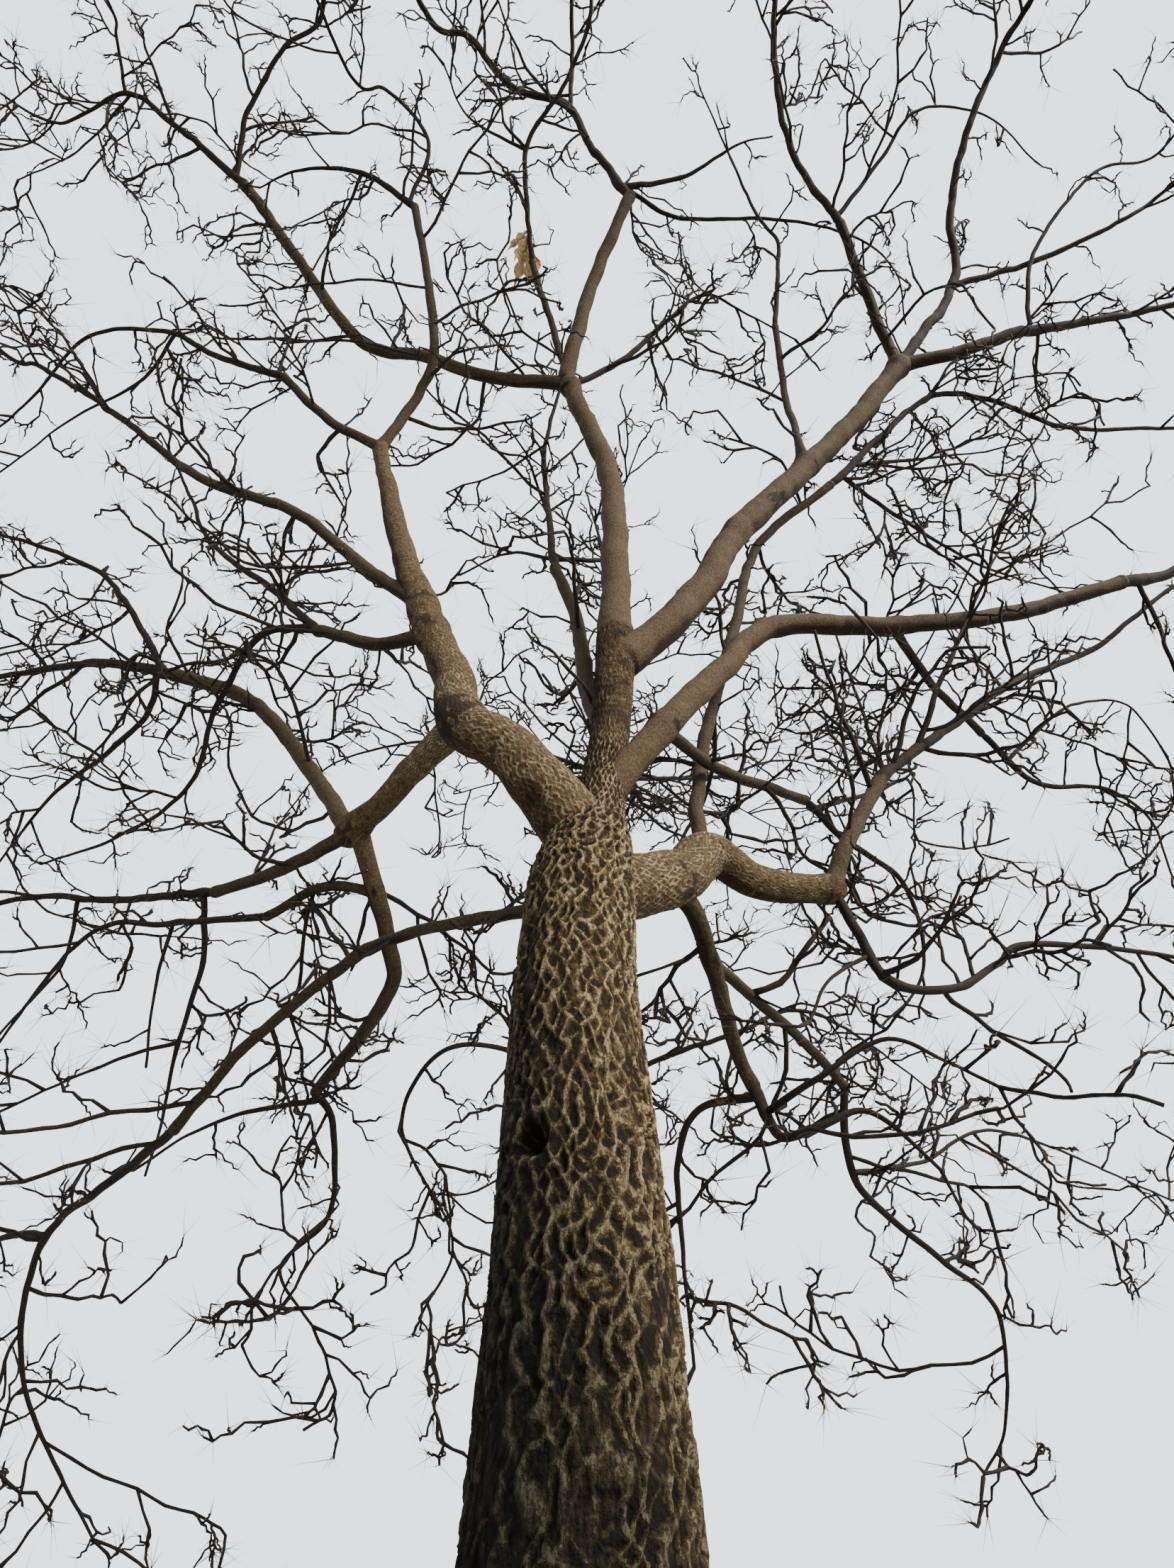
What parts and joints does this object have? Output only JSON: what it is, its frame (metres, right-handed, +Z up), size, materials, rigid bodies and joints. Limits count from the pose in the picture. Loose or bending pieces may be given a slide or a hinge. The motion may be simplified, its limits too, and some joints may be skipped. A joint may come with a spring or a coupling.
{
  "type": "bare winter tree",
  "caption": "Whole leafless winter tree: thick furrowed trunk with root flare, crooked spreading boughs and masses of fine knobbly twigs, rooted in level ground.",
  "frame": {"origin": "middle of the flat cut under the trunk, at ground level", "axes": "+Z up along the trunk, +X to the right and +Y away for someone standing in front of the tree"},
  "size_m": [9.9412, 9.8566, 11.4906],
  "materials": {
    "trunk_bark": "deeply furrowed bark, pale ridges round dark lozenge furrows",
    "netted_bark": "finely netted pale bark",
    "bough_bark": "smooth olive-brown bark, darker below",
    "twigs": "fine dark twigs, matt"
  },
  "bodies": {
    "root": {"trunk": "trunk_bark", "bough_back_left": "bough_bark", "bough_back_right": "bough_bark", "bough_cross_top": "bough_bark", "bough_droop_right": "bough_bark", "bough_high_back": "bough_bark", "bough_high_left": "bough_bark", "bough_in_right": "bough_bark", "bough_leader": "bough_bark", "bough_left": "netted_bark", "bough_left_down": "bough_bark", "bough_left_far": "bough_bark", "bough_left_hang": "bough_bark", "bough_left_in": "bough_bark", "bough_left_low": "netted_bark", "bough_left_mid": "bough_bark", "bough_left_out": "bough_bark", "bough_left_top": "bough_bark", "bough_left_under": "bough_bark", "bough_low_back": "bough_bark", "bough_mid_right": "bough_bark", "bough_over_right": "bough_bark", "bough_pale_mid": "bough_bark", "bough_right": "netted_bark", "bough_right_far": "bough_bark", "bough_right_hang": "bough_bark", "bough_right_high": "bough_bark", "bough_right_long": "bough_bark", "bough_right_out": "bough_bark", "bough_right_top": "bough_bark", "bough_thin_top": "bough_bark", "twigs_back_left": "twigs", "twigs_back_right": "twigs", "twigs_cross_top": "twigs", "twigs_droop_right": "twigs", "twigs_high_back": "twigs", "twigs_high_left": "twigs", "twigs_in_right": "twigs", "twigs_leader": "twigs", "twigs_left_down": "twigs", "twigs_left_far": "twigs", "twigs_left_hang": "twigs", "twigs_left_in": "twigs", "twigs_left_mid": "twigs", "twigs_left_out": "twigs", "twigs_left_top": "twigs", "twigs_left_under": "twigs", "twigs_low_back": "twigs", "twigs_mid_right": "twigs", "twigs_over_right": "twigs", "twigs_pale_mid": "twigs", "twigs_right_far": "twigs", "twigs_right_hang": "twigs", "twigs_right_long": "twigs", "twigs_right_low": "twigs", "twigs_right_mid": "twigs", "twigs_right_out": "twigs", "twigs_right_top": "twigs", "twigs_thin_top": "twigs"}
  },
  "joints": []
}
